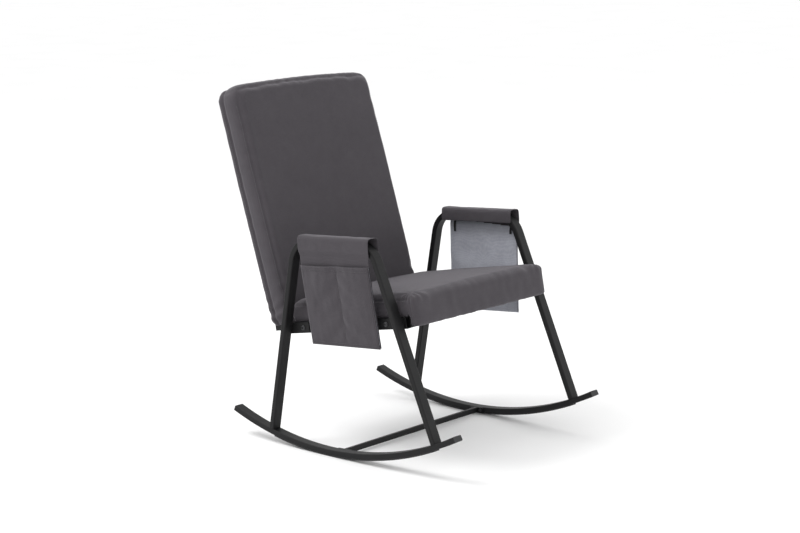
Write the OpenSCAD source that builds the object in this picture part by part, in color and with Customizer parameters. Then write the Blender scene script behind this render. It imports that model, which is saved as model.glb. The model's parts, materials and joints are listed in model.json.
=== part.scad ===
// Rocking chair: flat-oval steel side frames on curved rockers, padded seat
// and back, arm sleeves with hanging side pockets. Millimetres, +Z up,
// sitter faces -Y. Right and left are the sitter's right (-X) and left (+X).

/* [Side frames] */
// Width across the outer faces of the two side frames
frame_w = 620; // [560:1:700]
// Radius of the floor side of each rocker
rocker_r = 920; // [860:1:1000]
// Angle from the floor contact to the front tip of a rocker
front_tip_deg = 28.5; // [26:0.1:31]
// Angle from the floor contact to the rear tip of a rocker
rear_tip_deg = 21.1; // [18:0.1:24]
// Lean of the front leg from upright
front_leg_lean = 23.8; // [22:0.1:25]
// Lean of the rear leg from upright
rear_leg_lean = 9.4; // [8:0.1:11]
// Wall of the side frame tube
side_wall = 2.5; // [2:0.1:3]

/* [Seat] */
// Tilt of the seat, front edge up
seat_tilt = 10; // [8:0.5:12]
// Width of the seat cushion
seat_w = 552; // [540:1:556]
// Thickness of the seat cushion over its rails
seat_h = 52; // [46:1:60]
// Wall of the seat rail tube
rail_wall = 2.5; // [1.5:0.1:3]

/* [Back] */
// Recline of the back from upright
back_recline = 18; // [16:0.5:20]
// Width of the back cushion
back_w = 552; // [530:1:556]
// Height of the back cushion along its slope
back_h = 660; // [620:1:700]
// Thickness of the back cushion with its frame
back_t = 82; // [80:1:90]

/* [Arms and pockets] */
// Length of each arm sleeve
sleeve_len = 242; // [220:1:250]
// Lean of each pocket toward the seat as it hangs
pocket_lean = 5.5; // [4:0.5:6]

/* [Hidden] */
$fn = 72;
// Fore and aft place of the floor contact line
contact_y = 5.4;

// Tube of the side frames: wide face across the chair
tube_w = 30;
tube_t = 15;
tube_r = 3;
side_x = frame_w / 2 - tube_w / 2;
inner_x = frame_w / 2 - tube_w;
strip_t = 3;
strip_w = 24;
strip_front_deg = 23.4;
strip_rear_deg = 11.4;
rocker_c = rocker_r - strip_t - tube_t / 2;
rocker_top = rocker_r - strip_t - tube_t;
cap_flange = 1.6;
cap_plug = 14;
cap_fit = 0.3;
cap_flange_deg = cap_flange / rocker_c * 180 / PI;
cap_plug_deg = cap_plug / rocker_c * 180 / PI;

// Leg faces and arm line of the loop, given where each meets its axis
front_leg_y0 = -414;
rear_leg_y0 = 204.7;
arm_tilt = 4;
arm_y = -30;
arm_z = 576;
bend_out = 80;
bend_c = bend_out - tube_t / 2;
n_front = [-cos(front_leg_lean), sin(front_leg_lean)];
n_rear = [cos(rear_leg_lean), sin(rear_leg_lean)];
n_top = [sin(arm_tilt), cos(arm_tilt)];
c_front = n_front[0] * front_leg_y0 - bend_out;
c_rear = n_rear[0] * rear_leg_y0 - bend_out;
c_top = n_top[0] * arm_y + n_top[1] * arm_z - bend_out;
function meet(n1, c1, n2, c2) =
    [(c1 * n2[1] - c2 * n1[1]) / (n1[0] * n2[1] - n1[1] * n2[0]),
     (n1[0] * c2 - n2[0] * c1) / (n1[0] * n2[1] - n1[1] * n2[0])];
bend_front = meet(n_front, c_front, n_top, c_top);
bend_rear = meet(n_rear, c_rear, n_top, c_top);
leg_reach = 620;
lap = 1;
hair = 0.02;

// Seat frame: y runs back, z up, both along the tilted seat
seat_y = 195;
seat_z = 325;
rail_w = 20;
rail_h = 30;
rail_in = 256;
rail_out = rail_in + rail_w;
rail_low = -34.8;
rail_top = rail_low + rail_h;
rail_mid = rail_low + rail_h / 2;
rail_front = -448;
rail_rear = -46;
rail_len = rail_rear - rail_front;
cross_t = 20;
rear_cross_y = -142;
seat_front = -495;
seat_rear = -47;
seat_nose = 44;
nose_low = -36;
side_low = rail_top + 0.5;
skin = 1.5;
ease = 0.4;
foam_low = -1;
nose_r = 24;
corner_r = 28;
lining_low = -2.2;
lining_t = 0.9;
lining_half = 256;
lining_edge = 7;
web_t = 2;
web_low = rail_top + 0.1;
web_w = 48;
web_pitch = 54;
web_count = 6;
web_first = -452;
web_half = 264;

// Brackets and fasteners of the seat rails
plate_t = 4;
bracket_h = 28;
bracket_low = rail_mid - bracket_h / 2;
rear_bracket = [-116, -46];
front_bracket = [-442, -370];
bolt_ys = [-95, -385];
bolt_d = 8;
bolt_hole = 8.4;
head_d = 13;
head_h = 4.2;
hex_key = 5;
washer_d = 16;
washer_t = 1.6;
nut_af = 13;
nut_h = 7;
bolt_tail = 3;
insert_y = -66;
insert_d = 9;
insert_len = 12;
insert_rim_d = 12;
insert_rim = 1;
screw_d = 6;
screw_head_d = 10.5;
screw_head_h = 3.3;
back_plate_in = rail_in - plate_t;
back_plate_low = -28;
back_plate_high = -8;
back_plate_front = -112;
back_plate_rear = 30;

// Back frame: y runs back through the cushion, z up its slope
back_y = 150;
back_z = 322;
post_s = 20;
post_wall = 1;
post_r = 1.8;
post_in = back_plate_in - post_s;
post_front = 57;
post_low = -2;
post_high = 622;
post_len = post_high - post_low;
rail_levels = [602, 330, 92];
foam_back_y = 52;
foam_face = 12;
foam_border = 24;
back_low = -8;
back_front_low = 12;
back_r = 10;
back_rear_r = 20;
back_corner_r = 40;
crown = 12;
back_foam_low = 15;
back_web_w = 42;
back_web_pitch = 72;
back_web_count = 8;
back_web_first = 40;
back_web_half = 248;
closure_y = [22, 80];
closure_z = -6.5;

// Stretcher between the rockers
stretcher_deg = -2.84;
bar_t = 10;
bar_h = 14.5;
bar_half = inner_x - plate_t;
end_plate_l = 46;
end_plate_h = 14;
end_screw_y = 15;
end_screw_d = 5;
end_screw_hole = 5.4;
end_screw_head = 9;
end_screw_head_h = 2.6;
end_screw_len = 12;

// Arm frame: y runs back, z up, both along the arm
sleeve_half = 21;
sleeve_rise = 6;
sleeve_low = -30;
sleeve_rear = 114;
pad_rear = 76;
pad_front = -68;
pad_low = -14;
hinge_x = frame_w / 2 + 3;
hinge_z = -31;
panel_t = 1.5;
pouch_t = 12;
pouch_skin = 1.5;
panel_top = hinge_z - 0.5;
panel_pts = [[113, panel_top], [104, -282], [-130, -279], [-121, panel_top]];
pouch_pts = [[111, -72], [104, -282], [-130, -279], [-121, -66]];
rear_cell = [[105, -50], [98, -274.5], [-15.5, -272.5], [-7, -50]];
front_cell = [[-12, -50], [-20.5, -272.5], [-123, -271.5], [-114.5, -50]];
tab_w = 7;
tab_l = 30;
tab_t = 1.2;
tab_ys = [93, -106];
tab_z = -35;

steel_black = [0.06, 0.06, 0.065];
bolt_black = [0.1, 0.1, 0.11];
zinc = [0.62, 0.63, 0.66];
rubber_black = [0.09, 0.09, 0.1];
fabric_grey = [0.31, 0.3, 0.32];
lining_grey = [0.42, 0.42, 0.44];
pocket_reverse = [0.58, 0.59, 0.62];
foam_cream = [0.9, 0.86, 0.74];
web_black = [0.13, 0.13, 0.14];

// ---- frames ----
module at_contact() {
    translate([0, contact_y, 0]) children();
}

module at_rocker_axis(x, deg) {
    at_contact() translate([x, 0, rocker_r]) rotate([deg, 0, 0]) children();
}

module at_seat() {
    at_contact() translate([0, seat_y, seat_z]) rotate([-seat_tilt, 0, 0]) children();
}

module at_back() {
    at_contact() translate([0, back_y, back_z]) rotate([-back_recline, 0, 0]) children();
}

module at_arm(x) {
    at_contact() translate([x, arm_y, arm_z]) rotate([-arm_tilt, 0, 0]) children();
}

module at_pocket() {
    at_arm(-hinge_x) translate([0, 0, hinge_z]) rotate([0, -pocket_lean, 0])
        translate([0, 0, -hinge_z]) children();
}

module other_side() {
    mirror([1, 0, 0]) children();
}

module both_sides() {
    children();
    mirror([1, 0, 0]) children();
}

// A shape drawn in the side view (first number back, second up), w thick
module side_extrude(x0, w) {
    translate([x0, 0, 0]) rotate([90, 0, 90]) linear_extrude(w) children();
}

// ---- 2D sections ----
module round_rect(a, b, r) {
    square([a - 2 * r, b], center = true);
    square([a, b - 2 * r], center = true);
    for (sx = [-1, 1])
        for (sy = [-1, 1])
            translate([sx * (a / 2 - r), sy * (b / 2 - r)]) circle(r = r, $fn = 32);
}

module tube_section(a, b, r, wall) {
    difference() {
        round_rect(a, b, r);
        round_rect(a - 2 * wall, b - 2 * wall, r - wall / 2);
    }
}

// ---- side frames ----
// Straight runs reach a little into the bends, whose section is a hair smaller
module loop_run(p, deg, len, a, b, r) {
    translate([0, p[0], p[1]]) rotate([deg - 90, 0, 0]) translate([0, 0, -lap])
        linear_extrude(len + 2 * lap) round_rect(a, b, r);
}

module loop_bend(c, deg, sweep, a, b, r) {
    translate([0, c[0], c[1]]) rotate([90, 0, 90]) rotate([0, 0, deg])
        rotate_extrude(angle = sweep, $fn = 180) translate([bend_c, 0])
            round_rect(b - 2 * hair, a - 2 * hair, r - hair);
}

module loop_solid(a, b, r) {
    rear_deg = rear_leg_lean;
    top_deg = 90 - arm_tilt;
    front_deg = 180 - front_leg_lean;
    loop_run(bend_front + bend_c * n_front, front_deg + 90, leg_reach, a, b, r);
    loop_bend(bend_front, top_deg, front_deg - top_deg, a, b, r);
    loop_run(bend_rear + bend_c * n_top, top_deg + 90, norm(bend_front - bend_rear), a, b, r);
    loop_bend(bend_rear, rear_deg, top_deg - rear_deg, a, b, r);
    loop_run(bend_rear + bend_c * n_rear, rear_deg - 90, leg_reach, a, b, r);
}

module right_leg_loop() {
    color(steel_black) at_contact() translate([-side_x, 0, 0]) intersection() {
        difference() {
            loop_solid(tube_w, tube_t, tube_r);
            loop_solid(tube_w - 2 * side_wall, tube_t - 2 * side_wall, tube_r - side_wall / 2);
        }
        translate([-tube_w, 0, rocker_r]) rotate([0, 90, 0])
            cylinder(r = rocker_top, h = 2 * tube_w, $fn = 360);
    }
}

module rocker_sweep(front, rear) {
    rotate([90, 0, 90]) rotate([0, 0, 270 - front])
        rotate_extrude(angle = front + rear, $fn = 360) translate([rocker_c, 0]) children();
}

module right_rocker() {
    color(steel_black) difference() {
        at_rocker_axis(-side_x, 0)
            rocker_sweep(front_tip_deg - cap_flange_deg, rear_tip_deg - cap_flange_deg)
                tube_section(tube_t, tube_w, tube_r, side_wall);
        stretcher_axes(end_screw_hole);
    }
}

module cap_pair(body, plug_front) {
    at_rocker_axis(-side_x, 0) rotate([90, 0, 90]) rotate([0, 0, body])
        rotate_extrude(angle = cap_flange_deg, $fn = 360) translate([rocker_c, 0])
            round_rect(tube_t, tube_w, tube_r);
    at_rocker_axis(-side_x, 0) rotate([90, 0, 90]) rotate([0, 0, plug_front])
        rotate_extrude(angle = cap_plug_deg, $fn = 360) translate([rocker_c, 0])
            round_rect(tube_t - 2 * side_wall - 2 * cap_fit,
                       tube_w - 2 * side_wall - 2 * cap_fit, 1.5);
}

module right_rocker_end_caps() {
    color(rubber_black) {
        cap_pair(270 - front_tip_deg, 270 - front_tip_deg + cap_flange_deg);
        cap_pair(270 + rear_tip_deg - cap_flange_deg,
                 270 + rear_tip_deg - cap_flange_deg - cap_plug_deg);
    }
}

module right_glide_strip() {
    color(rubber_black) at_rocker_axis(-side_x, 0) rotate([90, 0, 90])
        rotate([0, 0, 270 - strip_front_deg])
            rotate_extrude(angle = strip_front_deg + strip_rear_deg, $fn = 360)
                translate([rocker_r - strip_t, -strip_w / 2]) square([strip_t, strip_w]);
}

// ---- stretcher ----
module stretcher_place() {
    at_rocker_axis(0, stretcher_deg) translate([0, 0, -rocker_c]) children();
}

module stretcher_axes(d) {
    stretcher_place() both_sides() for (s = [-1, 1])
        translate([-inner_x - 2 * side_wall, s * end_screw_y, 0]) rotate([0, 90, 0])
            cylinder(d = d, h = plate_t + 4 * side_wall);
}

module stretcher_bar() {
    color(steel_black) stretcher_place() translate([-bar_half, 0, 0]) rotate([90, 0, 90])
        linear_extrude(2 * bar_half) tube_section(bar_t, bar_h, 2, 1.5);
}

module stretcher_end_plates() {
    color(steel_black) difference() {
        stretcher_place() both_sides()
            translate([-inner_x, -end_plate_l / 2, -end_plate_h / 2])
                cube([plate_t, end_plate_l, end_plate_h]);
        stretcher_axes(end_screw_hole);
    }
}

module stretcher_screws() {
    color(bolt_black) stretcher_place() both_sides() for (s = [-1, 1])
        translate([-bar_half, s * end_screw_y, 0]) rotate([0, 90, 0]) difference() {
            union() {
                cylinder(d = end_screw_head, h = end_screw_head_h, $fn = 36);
                translate([0, 0, -end_screw_len / 2 - 2])
                    cylinder(d = end_screw_d, h = end_screw_len / 2 + 2, $fn = 36);
            }
            translate([0, 0, 1]) cylinder(d = hex_key - 1.2, h = 3, $fn = 6);
        }
}

// ---- seat rails ----
module bracket(span) {
    translate([-inner_x, span[0], bracket_low])
        cube([plate_t, span[1] - span[0], bracket_h]);
}

module rail_holes(d, x0, len) {
    for (y = bolt_ys)
        translate([x0, y, rail_mid]) rotate([0, 90, 0]) cylinder(d = d, h = len);
}

module right_rail_brackets() {
    color(steel_black) at_seat() difference() {
        union() {
            bracket(rear_bracket);
            bracket(front_bracket);
        }
        rail_holes(bolt_hole, -inner_x - 1, plate_t + 2);
    }
}

module right_seat_rail() {
    color(steel_black) at_seat() difference() {
        translate([-(rail_in + rail_out) / 2, rail_rear, rail_mid]) rotate([90, 0, 0])
            linear_extrude(rail_len) tube_section(rail_w, rail_h, tube_r, rail_wall);
        rail_holes(bolt_hole, -rail_out - 1, rail_w + 2);
        translate([-rail_in - rail_wall - 1, insert_y, rail_mid]) rotate([0, 90, 0])
            cylinder(d = insert_d + 0.3, h = rail_wall + 2);
    }
}

module cross_rail(y0) {
    translate([-rail_in, y0 + cross_t / 2, rail_mid]) rotate([90, 0, 90])
        linear_extrude(2 * rail_in) tube_section(cross_t, rail_h, tube_r, rail_wall);
}

module front_seat_rail() {
    color(steel_black) at_seat() cross_rail(rail_front);
}

module rear_seat_rail() {
    color(steel_black) at_seat() cross_rail(rear_cross_y);
}

// Inner end of each rail bolt: the rear pair also clamps the back plates
function seat_side(y) = (y == bolt_ys[0]) ? back_plate_in : rail_in;

module rail_bolts() {
    color(bolt_black) at_seat() both_sides() for (y = bolt_ys)
        translate([-inner_x, y, rail_mid]) rotate([0, 90, 0]) difference() {
            union() {
                intersection() {
                    translate([0, 0, -head_h]) cylinder(d = head_d, h = head_h, $fn = 48);
                    translate([0, 0, 4.2]) sphere(r = 9, $fn = 64);
                }
                cylinder(d = bolt_d, h = inner_x - seat_side(y) + washer_t + nut_h + bolt_tail,
                         $fn = 36);
            }
            translate([0, 0, -head_h - 1]) cylinder(d = hex_key / cos(30), h = 3.6, $fn = 6);
        }
}

module rail_washers() {
    color(zinc) at_seat() both_sides() for (y = bolt_ys)
        translate([-seat_side(y), y, rail_mid]) rotate([0, 90, 0]) difference() {
            cylinder(d = washer_d, h = washer_t, $fn = 48);
            translate([0, 0, -1]) cylinder(d = bolt_hole, h = washer_t + 2);
        }
}

module rail_nuts() {
    color(zinc) at_seat() both_sides() for (y = bolt_ys)
        translate([-seat_side(y) + washer_t, y, rail_mid]) rotate([0, 90, 0]) difference() {
            cylinder(d = nut_af / cos(30), h = nut_h, $fn = 6);
            translate([0, 0, -1]) cylinder(d = bolt_d, h = nut_h + 2, $fn = 36);
        }
}

// ---- back frame ----
module right_back_post() {
    color(steel_black) at_back()
        translate([-post_in - post_s / 2, post_front + post_s / 2, post_low])
            linear_extrude(post_len) tube_section(post_s, post_s, post_r, post_wall);
}

module right_back_plate() {
    color(steel_black) at_seat() difference() {
        translate([-rail_in, back_plate_front, back_plate_low])
            cube([plate_t, back_plate_rear - back_plate_front, back_plate_high - back_plate_low]);
        translate([-rail_in - 1, bolt_ys[0], rail_mid]) rotate([0, 90, 0])
            cylinder(d = bolt_hole, h = plate_t + 2);
        translate([-rail_in - 1, insert_y, rail_mid]) rotate([0, 90, 0])
            cylinder(d = screw_d + 0.4, h = plate_t + 2);
    }
}

module back_cross_rail(z0) {
    at_back() translate([-post_in, post_front + post_s / 2, z0 + post_s / 2])
        rotate([90, 0, 90]) linear_extrude(2 * post_in)
            tube_section(post_s, post_s, post_r, post_wall);
}

module top_back_rail() {
    color(steel_black) back_cross_rail(rail_levels[0]);
}

module middle_back_rail() {
    color(steel_black) back_cross_rail(rail_levels[1]);
}

module lower_back_rail() {
    color(steel_black) back_cross_rail(rail_levels[2]);
}

module back_plate_screws() {
    color(bolt_black) at_seat() both_sides()
        translate([-back_plate_in, insert_y, rail_mid]) rotate([0, 90, 0]) difference() {
            union() {
                cylinder(d = screw_head_d, h = screw_head_h, $fn = 36);
                translate([0, 0, -plate_t - insert_len])
                    cylinder(d = screw_d, h = plate_t + insert_len, $fn = 36);
            }
            translate([0, 0, 1.2]) cylinder(d = hex_key - 1, h = 4, $fn = 6);
        }
}

module back_plate_inserts() {
    color(zinc) at_seat() both_sides()
        translate([-rail_in - rail_wall - insert_len, insert_y, rail_mid]) rotate([0, 90, 0])
            difference() {
                union() {
                    cylinder(d = insert_d, h = insert_len + rail_wall, $fn = 36);
                    translate([0, 0, insert_len - insert_rim])
                        cylinder(d = insert_rim_d, h = insert_rim, $fn = 36);
                }
                translate([0, 0, -1]) cylinder(d = screw_d, h = insert_len + 4, $fn = 36);
            }
}

// ---- seat cushion ----
module seat_webbing() {
    color(web_black) at_seat() for (i = [0:web_count - 1])
        translate([-web_half, web_first + i * web_pitch + 6, web_low])
            cube([2 * web_half, web_w, web_t]);
}

module seat_underlining() {
    color(lining_grey) at_seat()
        translate([-lining_half, seat_front + seat_nose + 3, lining_low])
            cube([2 * lining_half, seat_rear - seat_front - seat_nose - 3 - lining_edge, lining_t]);
}

// Side view of the cushion grown inward by e, its nose reaching down in front
module seat_side_view(e, low) {
    front = seat_front + e;
    high = seat_h - e;
    difference() {
        union() {
            translate([front + nose_r, low]) square([seat_rear - e - front - nose_r, high - low]);
            translate([front, low]) square([nose_r, high - nose_r - low]);
            translate([front + nose_r, high - nose_r]) circle(r = nose_r, $fn = 96);
            translate([front, nose_low + e / 2]) square([seat_nose - 2 * e, low - nose_low]);
        }
        translate([front, high]) square([seat_rear - front + 1, 2 * nose_r]);
    }
}

module seat_plan(e) {
    len = seat_rear - seat_front - 2 * e;
    translate([0, (seat_front + seat_rear) / 2]) round_rect(seat_w - 2 * e, len, corner_r - e);
}

module seat_block(e, low) {
    intersection() {
        side_extrude(-seat_w / 2 + e, seat_w - 2 * e) seat_side_view(e, low);
        translate([0, 0, nose_low - 1]) linear_extrude(seat_h - nose_low + 2) seat_plan(e);
    }
}

module seat_foam() {
    color(foam_cream) at_seat() seat_block(skin + ease, foam_low);
}

module seat_cover() {
    color(fabric_grey) at_seat() difference() {
        seat_block(0, side_low);
        seat_block(skin, side_low - 1);
        translate([-seat_w / 2 + skin, seat_front + skin, nose_low - 2])
            cube([seat_w - 2 * skin, seat_nose - 2 * skin, 4]);
    }
}

// ---- back cushion ----
module back_webbing() {
    color(web_black) at_back() for (i = [0:back_web_count - 1])
        translate([-back_web_half, post_front - web_t - 0.2, back_web_first + i * back_web_pitch])
            cube([2 * back_web_half, web_t, back_web_w]);
}

module back_side_view(y0, y1, z0, z1, rf, rr) {
    translate([y0, z0]) square([y1 - y0, z1 - z0 - max(rf, rr)]);
    translate([y0 + rf, z0]) square([y1 - y0 - rf - rr, z1 - z0]);
    translate([y0 + rf, z1 - rf]) circle(r = rf, $fn = 48);
    translate([y1 - rr, z1 - rr]) circle(r = rr, $fn = 48);
    translate([y0, z1 - max(rf, rr) - 1]) square([rf, max(rf, rr) - rf + 1]);
}

module back_front_view(e, low) {
    half = back_w / 2 - e;
    high = back_h - e;
    r = back_corner_r - e;
    big = (back_w * back_w / 4 + crown * crown) / (2 * crown);
    intersection() {
        union() {
            translate([-half, low]) square([2 * half, high - low - r]);
            translate([-half + r, low]) square([2 * half - 2 * r, high - low]);
            for (s = [-1, 1])
                translate([s * (half - r), high - r]) circle(r = r, $fn = 64);
        }
        translate([0, high - big]) circle(r = big, $fn = 720);
    }
}

module back_block(e, y1, low, rr) {
    intersection() {
        side_extrude(-back_w / 2 + e, back_w - 2 * e)
            back_side_view(e, y1, low, back_h - e, back_r - e, rr);
        translate([0, back_t + 1, 0]) rotate([90, 0, 0]) linear_extrude(back_t + 2)
            back_front_view(e, low);
    }
}

// A pad with a thicker border, its middle cut away behind
module back_foam() {
    color(foam_cream) at_back() difference() {
        back_block(skin + ease, foam_back_y, back_foam_low, back_r - skin - ease);
        translate([-back_w / 2 + foam_border, foam_face, back_foam_low + foam_border])
            cube([back_w - 2 * foam_border, back_t, back_h - back_foam_low - 2 * foam_border]);
    }
}

module back_cover() {
    color(fabric_grey) at_back() difference() {
        back_block(0, back_t, back_low, back_rear_r);
        back_block(skin, back_t - skin, back_low - 1, back_rear_r - skin);
        translate([-back_w, -1, back_low - 1])
            cube([2 * back_w, skin + 3, back_front_low - back_low + 1]);
    }
}

module back_cover_closure() {
    color(fabric_grey) at_back()
        translate([-back_plate_in + 2, closure_y[0], closure_z])
            cube([2 * back_plate_in - 4, closure_y[1] - closure_y[0], skin]);
}

// ---- arms ----
module sleeve_shape(e) {
    r = 7 - e;
    w = 2 * sleeve_half - 2 * e;
    translate([-w / 2, sleeve_low - e]) square([w, sleeve_rise - e - r - sleeve_low + e]);
    translate([-w / 2 + r, sleeve_low - e]) square([w - 2 * r, sleeve_rise - sleeve_low]);
    for (s = [-1, 1])
        translate([s * (w / 2 - r), sleeve_rise - e - r]) circle(r = r, $fn = 48);
}

module right_arm_pad() {
    color(foam_cream) at_arm(-side_x) translate([0, pad_rear, 0]) rotate([90, 0, 0])
        linear_extrude(pad_rear - pad_front) difference() {
            sleeve_shape(skin + ease);
            translate([-tube_w / 2 - ease, -tube_w]) square([tube_w + 2 * ease, tube_w + ease]);
            translate([-tube_w, pad_low - tube_w]) square([2 * tube_w, tube_w]);
        }
}

module right_arm_sleeve() {
    color(fabric_grey) at_arm(-side_x) translate([0, sleeve_rear, 0]) rotate([90, 0, 0])
        linear_extrude(sleeve_len) difference() {
            sleeve_shape(0);
            sleeve_shape(skin);
        }
}

// ---- side pockets ----
module right_pocket_panel() {
    color(fabric_grey) at_pocket() side_extrude(0, panel_t) polygon(panel_pts);
}

module right_pocket_pouch() {
    color(fabric_grey) at_pocket() difference() {
        side_extrude(-pouch_t, pouch_t) polygon(pouch_pts);
        side_extrude(-pouch_t + pouch_skin, pouch_t) polygon(rear_cell);
        side_extrude(-pouch_t + pouch_skin, pouch_t) polygon(front_cell);
    }
}

module right_pocket_tabs() {
    color(web_black) at_pocket() for (y = tab_ys)
        translate([panel_t, y - tab_w / 2, tab_z - tab_l]) cube([tab_t, tab_w, tab_l]);
}

// ---- the other side ----
module left_leg_loop() {
    other_side() right_leg_loop();
}

module left_rocker() {
    other_side() right_rocker();
}

module left_rocker_end_caps() {
    other_side() right_rocker_end_caps();
}

module left_glide_strip() {
    other_side() right_glide_strip();
}

module left_rail_brackets() {
    other_side() right_rail_brackets();
}

module left_seat_rail() {
    other_side() right_seat_rail();
}

module left_back_post() {
    other_side() right_back_post();
}

module left_back_plate() {
    other_side() right_back_plate();
}

module left_arm_pad() {
    other_side() right_arm_pad();
}

module left_arm_sleeve() {
    other_side() right_arm_sleeve();
}

module left_pocket_panel() {
    other_side() right_pocket_panel();
}

module left_pocket_pouch() {
    other_side() right_pocket_pouch();
}

module left_pocket_tabs() {
    other_side() right_pocket_tabs();
}

right_leg_loop();
left_leg_loop();
right_rocker();
left_rocker();
right_rocker_end_caps();
left_rocker_end_caps();
right_glide_strip();
left_glide_strip();
right_rail_brackets();
left_rail_brackets();
stretcher_bar();
stretcher_end_plates();
stretcher_screws();
right_seat_rail();
left_seat_rail();
front_seat_rail();
rear_seat_rail();
rail_bolts();
rail_washers();
rail_nuts();
right_back_post();
left_back_post();
right_back_plate();
left_back_plate();
top_back_rail();
middle_back_rail();
lower_back_rail();
back_plate_screws();
back_plate_inserts();
seat_webbing();
seat_underlining();
seat_foam();
seat_cover();
back_webbing();
back_foam();
back_cover();
back_cover_closure();
right_arm_pad();
left_arm_pad();
right_arm_sleeve();
left_arm_sleeve();
right_pocket_panel();
left_pocket_panel();
right_pocket_pouch();
left_pocket_pouch();
right_pocket_tabs();
left_pocket_tabs();
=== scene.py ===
import json
import math
import bmesh
import bpy
import numpy as np
from mathutils import Matrix, Vector, noise


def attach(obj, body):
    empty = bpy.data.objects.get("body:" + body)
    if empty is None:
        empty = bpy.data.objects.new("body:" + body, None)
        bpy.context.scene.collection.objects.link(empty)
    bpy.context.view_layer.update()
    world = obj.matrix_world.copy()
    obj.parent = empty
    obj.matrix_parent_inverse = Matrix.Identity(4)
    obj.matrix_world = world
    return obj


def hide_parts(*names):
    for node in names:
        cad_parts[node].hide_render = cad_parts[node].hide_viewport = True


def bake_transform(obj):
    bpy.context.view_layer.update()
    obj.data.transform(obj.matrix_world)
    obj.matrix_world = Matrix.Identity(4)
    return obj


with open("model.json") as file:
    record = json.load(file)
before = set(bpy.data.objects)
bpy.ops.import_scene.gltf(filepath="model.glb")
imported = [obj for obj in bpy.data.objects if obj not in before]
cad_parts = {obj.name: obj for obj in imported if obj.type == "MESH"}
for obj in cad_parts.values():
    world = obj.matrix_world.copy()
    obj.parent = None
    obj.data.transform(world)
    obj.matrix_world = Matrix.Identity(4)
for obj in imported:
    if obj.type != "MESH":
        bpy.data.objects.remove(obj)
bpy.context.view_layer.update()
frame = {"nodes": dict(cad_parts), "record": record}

NODES = frame["nodes"]
CY = 0.0054  # fore and aft place of the floor contact line

# ---------------------------------------------------------------- frames
def turned(x, y, z, deg):
    return Matrix.Translation((x, y + CY, z)) @ Matrix.Rotation(math.radians(-deg), 4, "X")


SEAT = turned(0, 0.195, 0.325, 10)
BACK = turned(0, 0.150, 0.322, 18)
ARM = turned(-0.295, -0.030, 0.576, 4)
POCKET = (turned(-0.313, -0.030, 0.576, 4) @ Matrix.Translation((0, 0, -0.031))
          @ Matrix.Rotation(math.radians(-5.5), 4, "Y") @ Matrix.Translation((0, 0, 0.031)))
MIRROR = Matrix.Scale(-1, 4, (1, 0, 0))


# ---------------------------------------------------------------- materials
class Nodes:
    """A material's node tree, built by short calls."""

    def __init__(self, name):
        self.mat = bpy.data.materials.new(name)
        self.mat.use_nodes = True
        self.tree = self.mat.node_tree
        self.shader = self.tree.nodes["Principled BSDF"]
        self.coord = self.tree.nodes.new("ShaderNodeTexCoord").outputs["Object"]

    def add(self, kind, ins=None, **props):
        n = self.tree.nodes.new("ShaderNode" + kind)
        for k, v in props.items():
            setattr(n, k, v)
        for k, v in (ins or {}).items():
            self.put(n.inputs[k], v)
        return n

    def put(self, socket, v):
        if isinstance(v, bpy.types.NodeSocket):
            self.tree.links.new(v, socket)
        else:
            socket.default_value = v

    def noise(self, scale, detail=3.0, rough=0.5, vector=None):
        return self.add("TexNoise", {"Vector": vector or self.coord, "Scale": scale,
                                     "Detail": detail, "Roughness": rough}).outputs["Fac"]

    def stretch(self, x, y, z):
        return self.add("Mapping", {"Vector": self.coord, "Scale": (x, y, z)}).outputs["Vector"]

    def math(self, op, a, b=0.0):
        return self.add("Math", {0: a, 1: b}, operation=op).outputs[0]

    def ramp(self, fac, low, high, a, b):
        n = self.add("MapRange", {"Value": fac, "From Min": low, "From Max": high,
                                  "To Min": a, "To Max": b})
        return n.outputs[0]

    def mix(self, fac, a, b):
        n = self.add("Mix", data_type="RGBA")
        self.put(n.inputs[0], fac)
        self.put(n.inputs[6], a)
        self.put(n.inputs[7], b)
        return n.outputs[2]

    def bump(self, height, strength, distance, normal=None):
        ins = {"Height": height, "Strength": strength, "Distance": distance}
        if normal:
            ins["Normal"] = normal
        return self.add("Bump", ins).outputs["Normal"]

    def done(self, **sockets):
        for k, v in sockets.items():
            self.put(self.shader.inputs[k.replace("_", " ")], v)
        return self.mat


def rgb(r, g, b):
    return (r, g, b, 1.0)


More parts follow.
